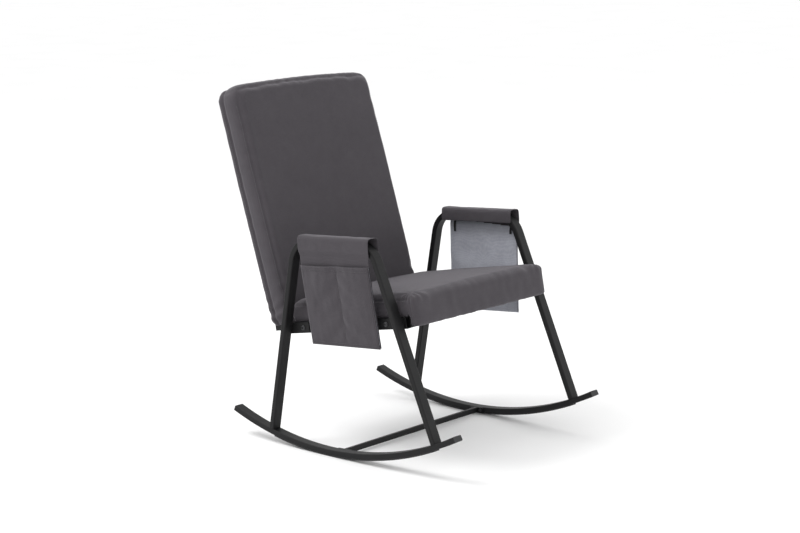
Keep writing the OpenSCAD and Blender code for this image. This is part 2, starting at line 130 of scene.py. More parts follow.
def cloth_material(name, dark, light, thread, sheen, rough, mottle=0.5):
    """Plain-weave cloth: crossed threads at true size, slub, and soft larger variation."""
    m = Nodes(name)
    k = 1.0 / thread
    wave = {}
    for axis in "XZY":
        wave[axis] = m.add("TexWave", {"Vector": m.coord, "Scale": k / 6.2832 * 2,
                                       "Distortion": 0.6, "Detail": 1.0, "Detail Scale": 60.0},
                           wave_type="BANDS", bands_direction=axis).outputs["Fac"]
    weave = m.math("MULTIPLY", m.math("ADD", wave["X"], m.math("ADD", wave["Y"], wave["Z"])), 0.3333)
    slub = m.noise(1.0, 2.0, 0.6, m.stretch(90, 900, 900))
    slub2 = m.noise(1.0, 2.0, 0.6, m.stretch(900, 900, 90))
    big = m.noise(7.0, 4.0, 0.55)
    patch = m.noise(38.0, 4.0, 0.6)
    tone = m.math("ADD", m.math("MULTIPLY", slub, 0.3), m.math("MULTIPLY", slub2, 0.3))
    tone = m.math("ADD", tone, m.math("MULTIPLY", weave, 0.25))
    tone = m.math("ADD", tone, m.math("MULTIPLY", big, mottle * 0.6))
    tone = m.math("ADD", tone, m.math("MULTIPLY", patch, mottle * 0.4))
    fac = m.ramp(tone, 0.34 + 0.2 * mottle, 0.70 + 0.55 * mottle, 0.0, 1.0)
    colour = m.mix(fac, dark, light)
    n1 = m.bump(patch, 0.25, 0.0012)
    n2 = m.bump(weave, 0.35, 0.0003, n1)
    n3 = m.bump(slub, 0.15, 0.0003, n2)
    return m.done(Base_Color=colour, Roughness=m.ramp(weave, 0.0, 1.0, rough - 0.05, rough + 0.05),
                  Normal=n3, Sheen_Weight=sheen, Sheen_Roughness=0.45,
                  Sheen_Tint=rgb(0.75, 0.73, 0.78), Specular_IOR_Level=0.25)


def coat_material(name, base, rough):
    """Satin powder coat: fine orange peel, a touch of dust and polish variation."""
    m = Nodes(name)
    peel = m.noise(900.0, 3.0, 0.5)
    grain = m.noise(2600.0, 2.0, 0.5)
    smear = m.noise(14.0, 4.0, 0.6)
    colour = m.mix(m.ramp(smear, 0.35, 0.75, 0.0, 1.0), base,
                   rgb(base[0] * 1.3, base[1] * 1.3, base[2] * 1.3))
    n1 = m.bump(peel, 0.22, 0.0002)
    n2 = m.bump(grain, 0.12, 0.0001, n1)
    return m.done(Base_Color=colour, Roughness=m.ramp(smear, 0.3, 0.75, rough - 0.05, rough + 0.06),
                  Normal=n2, Specular_IOR_Level=0.2, Coat_Weight=0.02, Coat_Roughness=0.35)


def rubber_material(name, base, rough):
    m = Nodes(name)
    fine = m.noise(1500.0, 3.0, 0.6)
    dust = m.noise(22.0, 4.0, 0.6)
    colour = m.mix(m.ramp(dust, 0.4, 0.8, 0.0, 1.0), base,
                   rgb(base[0] * 1.7, base[1] * 1.7, base[2] * 1.7))
    return m.done(Base_Color=colour, Roughness=m.ramp(dust, 0.3, 0.8, rough - 0.08, rough + 0.08),
                  Normal=m.bump(fine, 0.25, 0.0002), Specular_IOR_Level=0.35)


def metal_material(name, base, rough):
    m = Nodes(name)
    brush = m.noise(1.0, 3.0, 0.6, m.stretch(2500, 300, 2500))
    stain = m.noise(120.0, 3.0, 0.6)
    colour = m.mix(m.ramp(stain, 0.35, 0.75, 0.0, 1.0), base,
                   rgb(base[0] * 0.75, base[1] * 0.76, base[2] * 0.8))
    return m.done(Base_Color=colour, Metallic=1.0,
                  Roughness=m.ramp(brush, 0.3, 0.7, rough - 0.08, rough + 0.1),
                  Normal=m.bump(brush, 0.12, 0.0001))


def foam_material(name, base):
    m = Nodes(name)
    cells = m.add("TexVoronoi", {"Vector": m.coord, "Scale": 700.0}).outputs["Distance"]
    soft = m.noise(30.0, 3.0, 0.6)
    # painted shade: each pore pit, sunk by the bump below, is coloured darker than the foam around it;
    # the soft noise adds random real tone
    colour = m.mix(m.ramp(m.math("ADD", m.math("MULTIPLY", cells, 0.7), m.math("MULTIPLY", soft, 0.5)),
                          0.2, 0.9, 0.0, 1.0), rgb(base[0] * 0.7, base[1] * 0.68, base[2] * 0.6), base)
    return m.done(Base_Color=colour, Roughness=0.95, Normal=m.bump(cells, 0.5, 0.0006),
                  Specular_IOR_Level=0.15)


def webbing_material(name, base):
    """Woven elastic: close ribs along the band and a chevron of crossing threads."""
    m = Nodes(name)
    ribs = m.add("TexWave", {"Vector": m.coord, "Scale": 110.0, "Distortion": 0.4},
                 wave_type="BANDS", bands_direction="X").outputs["Fac"]
    cross = m.add("TexWave", {"Vector": m.coord, "Scale": 190.0, "Distortion": 0.5},
                  wave_type="BANDS", bands_direction="Y").outputs["Fac"]
    fuzz = m.noise(60.0, 4.0, 0.6)
    weave = m.math("MULTIPLY", m.math("ADD", ribs, cross), 0.5)
    tone = m.math("ADD", m.math("MULTIPLY", weave, 0.6), m.math("MULTIPLY", fuzz, 0.4))
    colour = m.mix(tone, rgb(base[0] * 0.6, base[1] * 0.6, base[2] * 0.6),
                   rgb(base[0] * 1.6, base[1] * 1.6, base[2] * 1.6))
    return m.done(Base_Color=colour, Roughness=0.85, Normal=m.bump(weave, 0.5, 0.0004),
                  Sheen_Weight=0.2, Sheen_Roughness=0.5, Specular_IOR_Level=0.2)


FABRIC = cloth_material("grey_upholstery", rgb(0.035, 0.031, 0.036), rgb(0.062, 0.056, 0.063),
                        0.0009, 0.22, 0.84)
REVERSE = cloth_material("grey_reverse", rgb(0.20, 0.205, 0.235), rgb(0.42, 0.43, 0.48),
                         0.0009, 0.2, 0.85, 1.0)
LINING = cloth_material("dark_lining", rgb(0.045, 0.045, 0.048), rgb(0.08, 0.08, 0.084),
                        0.0012, 0.1, 0.9)
THREAD = cloth_material("seam_thread", rgb(0.052, 0.048, 0.053), rgb(0.092, 0.086, 0.093),
                        0.0004, 0.3, 0.7)
COAT = coat_material("black_powder_coat", rgb(0.006, 0.006, 0.0064), 0.52)
BOLT = coat_material("black_oxide", rgb(0.03, 0.03, 0.032), 0.33)
ZINC = metal_material("zinc_plate", rgb(0.62, 0.63, 0.66), 0.35)
CAP = rubber_material("cap_rubber", rgb(0.017, 0.017, 0.018), 0.6)
GLIDE = rubber_material("glide_rubber", rgb(0.02, 0.02, 0.021), 0.7)
FOAM = foam_material("open_cell_foam", rgb(0.72, 0.66, 0.5))
WEB = webbing_material("woven_elastic", rgb(0.02, 0.02, 0.021))
TAPE = webbing_material("woven_tape", rgb(0.014, 0.014, 0.015))

CAD_LOOK = {"frame_black": COAT, "bolt_black": BOLT, "zinc_plate": ZINC, "cap_rubber": CAP,
            "glide_rubber": GLIDE, "grey_fabric": FABRIC, "lining": LINING, "foam": FOAM,
            "black_webbing": WEB, "black_tape": TAPE}
for part in frame["record"]["subparts"]:
    o = NODES[part["node"]]
    look = CAD_LOOK[part["material_slot"]]
    if not o.data.materials:
        o.data.materials.append(look)
    for s in o.material_slots:
        s.material = look


# ---------------------------------------------------------------- mesh helpers
def new_object(name, verts, faces, mats, smooth=True):
    me = bpy.data.meshes.new(name)
    me.from_pydata([tuple(v) for v in verts], [], [tuple(f) for f in faces])
    me.validate()
    me.update()
    o = bpy.data.objects.new(name, me)
    bpy.context.scene.collection.objects.link(o)
    for m in mats:
        me.materials.append(m)
    if smooth:
        me.polygons.foreach_set("use_smooth", [True] * len(me.polygons))
    return o


def coords(me):
    co = np.empty(len(me.vertices) * 3)
    me.vertices.foreach_get("co", co)
    return co.reshape(-1, 3)


def set_coords(me, co):
    me.vertices.foreach_set("co", np.ascontiguousarray(co, dtype=np.float32).ravel())
    me.update()


def normals(me):
    n = np.empty(len(me.vertices) * 3)
    me.vertex_normals.foreach_get("vector", n)
    return n.reshape(-1, 3)


def bake(o):
    """Applies the modifiers: the object's mesh becomes its evaluated one."""
    dg = bpy.context.evaluated_depsgraph_get()
    me = bpy.data.meshes.new_from_object(o.evaluated_get(dg))
    o.modifiers.clear()
    old = o.data
    o.data = me
    bpy.data.meshes.remove(old)
    me.polygons.foreach_set("use_smooth", [True] * len(me.polygons))
    return o


def modify(o, kind, **props):
    m = o.modifiers.new(kind.lower(), kind)
    for k, v in props.items():
        setattr(m, k, v)
    return m


def place(o, matrix):
    o.data.transform(matrix)
    if matrix.determinant() < 0:
        o.data.flip_normals()
    o.data.update()
    return o


def mirrored(o, name):
    """The same piece on the other side, its faces turned to stay outward."""
    twin = bpy.data.objects.new(name, o.data.copy())
    bpy.context.scene.collection.objects.link(twin)
    return place(twin, MIRROR)


def prism(profile, half, name):
    """A closed side profile (y, z) drawn across the chair from -half to half."""
    n = len(profile)
    verts = [(-half, y, z) for y, z in profile] + [(half, y, z) for y, z in profile]
    faces = [tuple(range(n))[::-1], tuple(range(n, 2 * n))]
    faces += [(i, (i + 1) % n, n + (i + 1) % n, n + i) for i in range(n)]
    o = new_object(name, verts, faces, [FABRIC])
    bm = bmesh.new()
    bm.from_mesh(o.data)
    bmesh.ops.recalc_face_normals(bm, faces=bm.faces)
    bm.to_mesh(o.data)
    bm.free()
    return o


def arc(cy, cz, r, a0, a1, n):
    return [(cy + r * math.cos(math.radians(a0 + (a1 - a0) * i / n)),
             cz + r * math.sin(math.radians(a0 + (a1 - a0) * i / n))) for i in range(n + 1)]


def puff(o, voxel, limit, pressure=4.0, frames=20):
    """Cloth pressure on a closed form. limit(co, d) caps how far each point may move."""
    modify(o, "REMESH", mode="VOXEL", voxel_size=voxel, use_smooth_shade=True)
    bake(o)
    rest = coords(o.data).copy()
    c = modify(o, "CLOTH")
    c.settings.quality = 4
    c.settings.mass = 0.3
    c.settings.tension_stiffness = 12
    c.settings.compression_stiffness = 12
    c.settings.shear_stiffness = 4
    c.settings.bending_stiffness = 0.6
    c.settings.use_pressure = True
    c.settings.uniform_pressure_force = pressure
    c.settings.effector_weights.gravity = 0
    c.collision_settings.use_collision = False
    c.point_cache.frame_start = 1
    c.point_cache.frame_end = frames
    scene = bpy.context.scene
    for f in range(1, frames + 1):
        scene.frame_set(f)
    dg = bpy.context.evaluated_depsgraph_get()
    me = o.evaluated_get(dg).to_mesh()
    move = coords(me) - rest
    o.modifiers.clear()
    scene.frame_set(1)
    move -= np.median(move, axis=0) * np.array([1, 0, 0])
    set_coords(o.data, rest + limit(rest, move))
    return o


def outward(side, d, most):
    """Keeps only the part of d that points away from the middle plane, up to most."""
    s = np.sign(side)
    return s * np.clip(d * s, 0.0, most)


def relax(me, rounds, amount=0.5, weight=None):
    """Moves points toward the middle of their neighbours."""
    co = coords(me)
    e = np.empty(len(me.edges) * 2, dtype=np.int64)
    me.edges.foreach_get("vertices", e)
    e = e.reshape(-1, 2)
    count = np.bincount(e.ravel(), minlength=len(co))[:, None]
    for _ in range(rounds):
        total = np.zeros_like(co)
        for k in range(3):
            total[:, k] = (np.bincount(e[:, 0], co[e[:, 1], k], len(co))
                           + np.bincount(e[:, 1], co[e[:, 0], k], len(co)))
        step = (total / np.maximum(count, 1) - co) * amount
        co = co + (step if weight is None else step * weight[:, None])
    set_coords(me, co)


def field(co, scale, seed):
    """Smooth noise at each point, about -1 to 1."""
    return np.array([noise.noise(Vector((p[0] * scale[0] + seed, p[1] * scale[1] - seed,
                                         p[2] * scale[2] + 2 * seed))) for p in co])


def groove(d, width):
    return np.exp(-(d / width) ** 2)


# one stitch: place along it, height over the cloth and width, as shares of the thread
STITCH_SHAPE = ((0.0, -1.2, 0.5), (0.2, 0.5, 1.0), (0.5, 1.0, 1.1), (0.8, 0.5, 1.0), (1.0, -1.2, 0.5))


def stitches(name, path, ups, pitch=0.0062, length=0.0042, r=0.00055, lift=0.0004):
    """Short thread stitches along a path of points; ups are the cloth's normals there."""
    pts = [Vector(p) for p in path]
    ns = [Vector(n).normalized() for n in ups]
    seg = [(pts[i + 1] - pts[i]).length for i in range(len(pts) - 1)]
    total = sum(seg)
    verts, faces = [], []

    def at(s):
        i = 0
        while i < len(seg) - 1 and s > seg[i]:
            s -= seg[i]
            i += 1
        f = min(1.0, s / max(seg[i], 1e-9))
        return pts[i].lerp(pts[i + 1], f), ns[i].lerp(ns[i + 1], f).normalized()

    for k in range(int(total / pitch)):
        s0 = (k + 0.5) * pitch - length / 2
        rings = []
        for f, h, w in STITCH_SHAPE:
            p, n = at(s0 + f * length)
            q, _ = at(s0 + f * length + 0.0005)
            t = (q - p)
            t = t.normalized() if t.length > 1e-9 else Vector((0, 1, 0))
            b = t.cross(n).normalized()
            c = p + n * (lift + h * r * 0.6)
            rings.append([c + b * (r * w * math.cos(a)) + n * (r * w * 0.8 * math.sin(a))
                          for a in (0, math.pi / 3, 2 * math.pi / 3, math.pi, 4 * math.pi / 3,
                                    5 * math.pi / 3)])
        base = len(verts)
        for ring in rings:
            verts += ring
        for i in range(4):
            for j in range(6):
                faces.append((base + i * 6 + j, base + i * 6 + (j + 1) % 6,
                              base + (i + 1) * 6 + (j + 1) % 6, base + (i + 1) * 6 + j))
        faces.append(tuple(base + j for j in range(5, -1, -1)))
        faces.append(tuple(base + 24 + j for j in range(6)))
    return new_object(name, verts, faces, [THREAD])


def surface_path(o, points, direction):
    """Drops points onto a mesh along direction, giving the hits and their normals."""
    from mathutils.bvhtree import BVHTree
    bm = bmesh.new()
    bm.from_mesh(o.data)
    tree = BVHTree.FromBMesh(bm)
    bm.free()
    hits, ups = [], []
    for i, p in enumerate(points):
        d = Vector(direction[i] if isinstance(direction[0], (tuple, list, Vector)) else direction)
        hit, n, _, _ = tree.ray_cast(Vector(p) - d * 0.08, d, 0.16)
        if hit is None:
            hit, n, _, _ = tree.find_nearest(Vector(p))
        hits.append(hit)
        ups.append(n)
    return hits, ups


# ---------------------------------------------------------------- seat cushion
SEAT_HALF = 0.276
SEAT_SEAM_Z = 0.0385  # height of the seam along each side of the seat


def make_seat():
    e = 0.006
    f, r = -0.495 + e, 0.024
    top = 0.042
    profile = [(-0.052, 0.000), (-0.050, top)]
    profile += arc(f + r, top - r, r, 90, 180, 6)
    profile += [(f, -0.032), (f + 0.033, -0.032), (f + 0.035, 0.000)]
    o = prism(profile, SEAT_HALF - e, "seat_cushion")
    modify(o, "BEVEL", width=0.006, segments=2, limit_method="ANGLE", angle_limit=math.radians(40))
    bake(o)
    co = coords(o.data)
    # plan corners pulled round at the front
    for i, p in enumerate(co):
        over_x = abs(p[0]) - (SEAT_HALF - e - 0.026)
        over_y = (f + 0.026) - p[1]
        if over_x > 0 and over_y > 0:
            d = math.hypot(over_x, over_y)
            if d > 0.026:
                k = 0.026 / d
                co[i, 0] = math.copysign(SEAT_HALF - e - 0.026 + over_x * k, p[0])
                co[i, 1] = f + 0.026 - over_y * k
    set_coords(o.data, co)

    def limit(rest, d):
        out = d.copy()
        high = rest[:, 2] > 0.012
        out[:, 2] = np.clip(out[:, 2], np.where(high, 0.0, -0.002), np.where(high, 0.010, 0.0))
        out[:, 0] = outward(rest[:, 0], out[:, 0], 0.006)
        ahead = rest[:, 1] < -0.27
        out[:, 1] = np.clip(out[:, 1], np.where(ahead, -0.007, 0.0), np.where(ahead, 0.0, 0.003))
        return out

    puff(o, 0.0055, limit)
    relax(o.data, 3, 0.5)
    modify(o, "SUBSURF", levels=1, render_levels=1)
    bake(o)
    co, n = coords(o.data), normals(o.data)
    x, y, z = co[:, 0], co[:, 1], co[:, 2]
    along = np.clip((-0.05 - y) / 0.44, 0, 1)
    crown = (1 - (np.abs(x) / SEAT_HALF) ** 2.4).clip(0) * np.sin(np.pi * along.clip(0.02, 0.98)) ** 0.6
    top_w = np.clip((z - 0.03) / 0.015, 0, 1)
    co[:, 2] += 0.010 * crown * top_w
    # side seams at the top of each side, running down the front corners
    side = np.clip((np.abs(x) - 0.251) / 0.012, 0, 1)
    d_side = np.where(y > -0.455, np.abs(z - SEAT_SEAM_Z), 9)
    d_front = np.where((z < 0.045) & (np.abs(x) > 0.236), np.abs(y + 0.468) + 0 * z, 9)
    d = np.minimum(d_side, d_front)
    co -= n * (0.0032 * groove(d, 0.0034) * side)[:, None]
    co += n * (0.0030 * np.sin(np.pi * np.clip((z + 0.004) / 0.041, 0, 1)) * side
               * (y > -0.46))[:, None]
    # cloth that never lies quite flat: slow waves, and short puckers by the seams
    slow = field(co, (7, 9, 12), 3.1)
    fine = field(co, (26, 60, 40), 8.7)
    near = groove(d, 0.03) * side
    co += n * (0.0010 * slow + 0.0011 * fine * near)[:, None]
    pull = field(co, (38, 14, 20), 5.3) * groove(co[:, 1] + 0.475, 0.03)
    co += n * (0.0012 * pull)[:, None]
    # creases fanning from the front corners
    for s in (-1, 1):
        cx, cyy = s * 0.251, -0.455
        dx, dy = (co[:, 0] - cx) * -s, co[:, 1] - cyy
        dist = np.hypot(dx, dy)
        ang = np.arctan2(dy, dx)
        fan = np.cos(ang * 9) * np.exp(-dist / 0.045) * np.clip(dist / 0.012, 0, 1)
        co += n * (0.0016 * fan * np.clip((co[:, 2] - 0.02) / 0.02, 0, 1))[:, None]
    # the underside lies on the rails and webbing, clear of everything below
    inner = co[:, 1] > -0.4500
    co[:, 2] = np.where(inner, np.maximum(co[:, 2], -0.0008), co[:, 2])
    edge = inner & (np.abs(co[:, 0]) > 0.2645) & (co[:, 2] < 0.005)
    co[:, 2] = np.where(edge, -0.0044, co[:, 2])
    # ahead of the legs the nose is free to spread a little past them
    free = np.clip((-0.456 - co[:, 1]) / 0.012, 0, 1) * np.clip((np.abs(co[:, 0]) - 0.22) / 0.05, 0, 1)
    co[:, 0] += np.sign(co[:, 0]) * 0.008 * free
    co[:, 2] = np.where(inner, co[:, 2], np.maximum(co[:, 2], -0.0362))
    set_coords(o.data, co)
    return o


seat = make_seat()
seat_paths = []
for s in (-1, 1):
    for dz in (0.0045, -0.0045):
        pts = [(s * 0.278, -0.06 - 0.0049 * i, SEAT_SEAM_Z + dz) for i in range(80)]
        seat_paths.append(surface_path(seat, pts, (-s, 0, 0)))
seat_thread = []
for k, (p, n) in enumerate(seat_paths):
    seat_thread.append(place(stitches("seat_seam_stitches_%d" % (k + 1), p, n), SEAT))
place(seat, SEAT)


# ---------------------------------------------------------------- back cushion
BACK_HALF = 0.276
BACK_SEAM_W = (0.0595, 0.0090)  # depth of the two stitch lines round the back


def make_back():
    e = 0.006
    profile = [(0.003, 0.000), (0.003, 0.646), (0.010, 0.650), (0.066, 0.650), (0.077, 0.642),
               (0.077, 0.000)]
    o = prism(profile, BACK_HALF - e, "back_cushion")
    modify(o, "BEVEL", width=0.005, segments=2, limit_method="ANGLE", angle_limit=math.radians(30))
    bake(o)
    modify(o, "REMESH", mode="VOXEL", voxel_size=0.012, use_smooth_shade=True)
    bake(o)
    co = coords(o.data)
    rc = 0.036
    over_x = np.abs(co[:, 0]) - (BACK_HALF - e - rc)
    over_z = co[:, 2] - (0.650 - rc)
    d = np.hypot(over_x, over_z)
    k = np.where((over_x > 0) & (over_z > 0) & (d > rc), rc / np.maximum(d, 1e-6), 1)
    co[:, 0] = np.where(k < 1, np.sign(co[:, 0]) * (BACK_HALF - e - rc + over_x * k), co[:, 0])
    co[:, 2] = np.where(k < 1, 0.650 - rc + over_z * k, co[:, 2])
    set_coords(o.data, co)

    def limit(rest, dd):
        out = dd.copy()
        out[:, 0] = outward(rest[:, 0], out[:, 0], 0.006)
        ahead = rest[:, 1] < 0.04
        out[:, 1] = np.clip(out[:, 1], np.where(ahead, -0.009, 0.0), np.where(ahead, 0.0, 0.004))
        out[:, 2] = np.clip(out[:, 2], 0.0, 0.004)
        return out

    puff(o, 0.0065, limit)
    relax(o.data, 3, 0.5)
    modify(o, "SUBSURF", levels=1, render_levels=1)
    bake(o)
    co, n = coords(o.data), normals(o.data)
    x, w, t = co[:, 0], co[:, 1], co[:, 2]
    # crowned top edge, sides a little fuller at mid height, pulled in near the seat
    co[:, 2] += 0.008 * (1 - (np.abs(x) / BACK_HALF) ** 2).clip(0) * np.clip((t - 0.3) / 0.35, 0, 1) ** 2
    co[:, 0] *= (1 + 0.006 * np.sin(np.pi * np.clip(t / 0.65, 0, 1))
                 - 0.012 * np.clip((0.08 - t) / 0.09, 0, 1))
    front = np.clip((0.035 - w) / 0.03, 0, 1)
    belly = (1 - (np.abs(x) / BACK_HALF) ** 2.2).clip(0) * np.sin(np.pi * np.clip(t / 0.66, 0, 1)) ** 0.7
    co[:, 1] -= 0.006 * belly * front
    x, w, t = co[:, 0], co[:, 1], co[:, 2]
    rim = np.maximum(np.clip((np.abs(x) - 0.257) / 0.010, 0, 1), np.clip((t - 0.632) / 0.010, 0, 1))
    d_mid = np.abs(w - 0.054)
    d_front = np.abs(w - 0.0035)
    d_rear = np.abs(w - 0.0765)
    co -= n * (0.0036 * groove(d_mid, 0.0036) * rim)[:, None]
    co -= n * (0.0028 * groove(d_front, 0.0034) * rim)[:, None]
    co -= n * (0.0016 * groove(d_rear, 0.0032) * rim)[:, None]
    co += n * (0.0030 * np.sin(np.pi * np.clip((w - 0.004) / 0.050, 0, 1)) * rim)[:, None]
    co += n * (0.0018 * np.sin(np.pi * np.clip((w - 0.055) / 0.022, 0, 1)) * rim)[:, None]
    # slow waves on the faces, puckers along the seams, folds low down where the seat pushes
    slow = field(co, (6, 10, 5), 1.7)
    fine = field(co, (60, 24, 34), 4.4)
    near = np.maximum(groove(np.minimum(d_mid, d_front), 0.022), 0.0) * rim
    co += n * (0.0012 * slow + 0.0014 * fine * near)[:, None]
    low = groove(t - 0.065, 0.05)
    fold = np.sin((t + 0.25 * np.abs(x)) * 150 + 3 * field(co, (5, 5, 5), 9.2))
    co += n * (0.0016 * fold * low * front * np.clip((np.abs(x) - 0.08) / 0.12, 0, 1))[:, None]
    side_low = rim * groove(t - 0.015, 0.05)
    co += n * (0.0022 * np.sin(t * 210 + 40 * w) * side_low)[:, None]
    # gathered hem: the rear half wraps below, the front half stops above the back plates
    x, w, t = co[:, 0], co[:, 1], co[:, 2]
    floor_t = np.where(w < 0.012, 0.0135, -0.0075) - 0.002 * np.sin(x * 170) * (w > 0.03)
    co[:, 2] = np.maximum(t, np.maximum(floor_t, -0.0095))
    co[:, 1] = np.clip(co[:, 1], 0.0006 - 0.006, 0.0825)
    set_coords(o.data, co)
    return o


back = make_back()
back_thread = []
for s in (-1, 1):
    for j, w0 in enumerate(BACK_SEAM_W):
        pts = [(s * 0.282, w0, 0.03 + 0.0049 * i) for i in range(118)]
        p, n = surface_path(back, pts, (-s, 0, 0))
        thread_name = "back_side_stitches_%d_%d" % (2 if s > 0 else 1, j + 1)
        back_thread.append(place(stitches(thread_name, p, n), BACK))
for j, w0 in enumerate(BACK_SEAM_W):
    pts = [(-0.230 + 0.0049 * i, w0, 0.665) for i in range(94)]
    p, n = surface_path(back, pts, (0, 0, -1))
    back_thread.append(place(stitches("back_top_stitches_%d" % (j + 1), p, n), BACK))
place(back, BACK)


# ---------------------------------------------------------------- cloth sheets
def grid(rows):
    """Faces of a grid of points given as equal rows."""
    n, m = len(rows), len(rows[0])
    verts = [p for row in rows for p in row]
    faces = [(i * m + j, i * m + j + 1, (i + 1) * m + j + 1, (i + 1) * m + j)
             for i in range(n - 1) for j in range(m - 1)]
    return verts, faces


def thick(o, thickness, offset=0.0):
    modify(o, "SOLIDIFY", thickness=thickness, offset=offset, use_even_offset=False)
    bake(o)
    return o


def reverse_faces(o, test, index=1):
    for p in o.data.polygons:
        if test(p.center, p.normal):
            p.material_index = index


POUCH_SEAM = 0.52  # centre seam, as a share of the way from rear to front
PANEL_W = 0.234
ARM_LEN0, ARM_LEN1 = 0.114, -0.128


def panel_edges(z):
    """Rear and front edge of the pocket panel, in arm coordinates, at height z."""
    f = (z + 0.0315) / (-0.2805 + 0.0315)
    return 0.113 - 0.009 * f, -0.121 - 0.009 * f


def pocket_bottom(s):
    """Height of the panel's lower edge, s from 0 at the rear to 1 at the front."""
    return -0.282 + 0.003 * s


def pouch_hem(s):
    """Height of the pouch's open hem."""
    return -0.072 + 0.006 * s


def sleeve_cloth():
    """One cut of cloth: the inner flap, over the arm, and down as the pocket's panel."""
    outer, inner, r, top = 0.0203, 0.0178, 0.009, 0.0055
    section = [(inner, -0.0295), (inner + 0.0004, -0.018)]
    section += [(inner - r + r * math.cos(math.radians(a)), top - r + r * math.sin(math.radians(a)))
                for a in range(0, 91, 15)]
    section += [(0.004, top + 0.0005), (-0.007, top + 0.0005)]
    section += [(-outer + r - r * math.cos(math.radians(a)), top - r + r * math.sin(math.radians(a)))
                for a in range(90, -1, -15)]
    section += [(-outer - 0.0002, -0.018), (-outer, -0.0295)]
    rows = []
    cols = 56
    for k, (sx, sz) in enumerate(section):
        row = []
        for j in range(cols + 1):
            s = j / cols
            y = ARM_LEN0 + (ARM_LEN1 - ARM_LEN0) * s
            # the hems flare a little, and the top sags between them
            end = math.exp(-min(s, 1 - s) / 0.05)
            swell = 1 + 0.03 * end * (sz < -0.01)
            wob = 0.0009 * noise.noise(Vector((y * 26, k * 0.6, 2.0)))
            wob += 0.0006 * noise.noise(Vector((y * 60, k * 1.1, 7.0)))
            z = sz + wob + (0.0005 * end if sz > 0 else 0)
            x = sx * swell + (wob if abs(sx) > 0.016 else 0)
            row.append(ARM @ Vector((x, y, z)))
        rows.append(row)
    drop = 60
    for i in range(1, drop + 1):
        q = i / drop
        row = []
        for j in range(cols + 1):
            s = j / cols
            z = -0.0295 + (pocket_bottom(s) + 0.0295) * q
            rear, front = panel_edges(z)
            # the panel is a little narrower than the sleeve: it draws in over its first bit
            ease = min(1.0, q / 0.10)
            ease = ease * ease * (3 - 2 * ease)
            y0 = ARM_LEN0 + (rear - ARM_LEN0) * ease
            y1 = ARM_LEN1 + (front - ARM_LEN1) * ease
            y = y0 + (y1 - y0) * s
            bow = 0.0030 * math.sin(math.pi * q) * noise.noise(Vector((s * 3.1, q * 2.2, 4.0)))
            bow += 0.0016 * noise.noise(Vector((s * 9, q * 7, 1.0))) * min(1, q * 3)
            curl = 0.004 * math.exp(-min(s, 1 - s) / 0.04) * q * (1 if s > 0.5 else -0.4)
            p = POCKET @ Vector((0.0006 + bow + curl * 0.5, y, z))
            top_p = ARM @ Vector((-0.0203, y0 + (y1 - y0) * s, z))
            join = min(1.0, q / 0.06)
            join = join * join * (3 - 2 * join)
            row.append(top_p.lerp(p, join))
        rows.append(row)
    verts, faces = grid(rows)
    o = new_object("right_sleeve_cloth", verts, faces, [FABRIC, REVERSE])
    bm = bmesh.new()
    bm.from_mesh(o.data)
    bmesh.ops.recalc_face_normals(bm, faces=bm.faces)
    bm.to_mesh(o.data)
    bm.free()
    # outward is -X on the hanging panel
    low = [p for p in o.data.polygons if p.center.z < 0.45]
    if sum(p.normal.x for p in low) > 0:
        o.data.flip_normals()
    thick(o, 0.0013)
    modify(o, "SUBSURF", levels=1, render_levels=1)
    bake(o)
    reverse_faces(o, lambda c, n: n.x > 0.3 and c.z < 0.540 and c.x < -0.27)
    return o


def pouch_cloth():
    """The pouch's front layer: sewn down at its edges and centre, open along the hem."""
    cols, rows_n = 72, 60
    rows = []
    for i in range(rows_n + 1):
        q = i / rows_n
        row = []
        for j in range(cols + 1):
            s = j / cols
            hem = pouch_hem(s)
            z = hem + (pocket_bottom(s) - 0.0004 - hem) * q
            rear, front = panel_edges(z)
            y = rear - 0.0006 + (front - rear + 0.0012) * s
            a = s / POUCH_SEAM if s < POUCH_SEAM else (s - POUCH_SEAM) / (1 - POUCH_SEAM)
            across = math.sin(math.pi * a) ** 0.55
            down = (1 - q) ** 0.45 * 0.72 + 0.28 * math.sin(math.pi * min(1, q * 1.0)) ** 0.7
            low_edge = min(1.0, (1 - q) / 0.06)
            bulge = 0.0078 * across * down * low_edge
            d_seam = abs(s - POUCH_SEAM) * PANEL_W
            # short diagonal pulls that run into the centre seam, and slow waves beside them
            pull = math.sin((z * 120 + d_seam * 90)) * math.exp(-d_seam / 0.03) * min(1, d_seam / 0.006)
            wave = (noise.noise(Vector((y * 20, z * 14, 3.0))) * 0.0018
                    + noise.noise(Vector((y * 60, z * 30, 5.0))) * 0.0007)
            x = -0.0022 - bulge - (0.0020 * pull + 1.5 * wave) * across ** 0.5 * low_edge
            x = min(x, -0.0016)
            row.append(POCKET @ Vector((x, y, z)))
        rows.append(row)
    verts, faces = grid(rows)
    o = new_object("right_pouch_cloth", verts, faces, [FABRIC, REVERSE])
    if sum(p.normal.x for p in o.data.polygons) > 0:
        o.data.flip_normals()
    thick(o, 0.0011)
    # the hem is folded twice, so its band stands proud
    inv = POCKET.inverted()
    co = coords(o.data)
    n = normals(o.data)
    local = np.array([inv @ Vector(p) for p in co])
    s = (0.111 - local[:, 1]) / 0.233
    below = pouch_hem(s) - local[:, 2]
    band = 1 / (1 + np.exp((below - 0.0125) / 0.0006))
    side_band = np.maximum(1 / (1 + np.exp((s - 0.030) / 0.0025)), 1 / (1 + np.exp((0.970 - s) / 0.0025)))
    foot = 1 / (1 + np.exp((local[:, 2] - pocket_bottom(s) - 0.009) / 0.0006))
    co += n * (0.00045 * np.maximum(np.maximum(band, side_band), foot))[:, None]
    set_coords(o.data, co)
    reverse_faces(o, lambda c, nn: nn.x > 0.3)
    return o


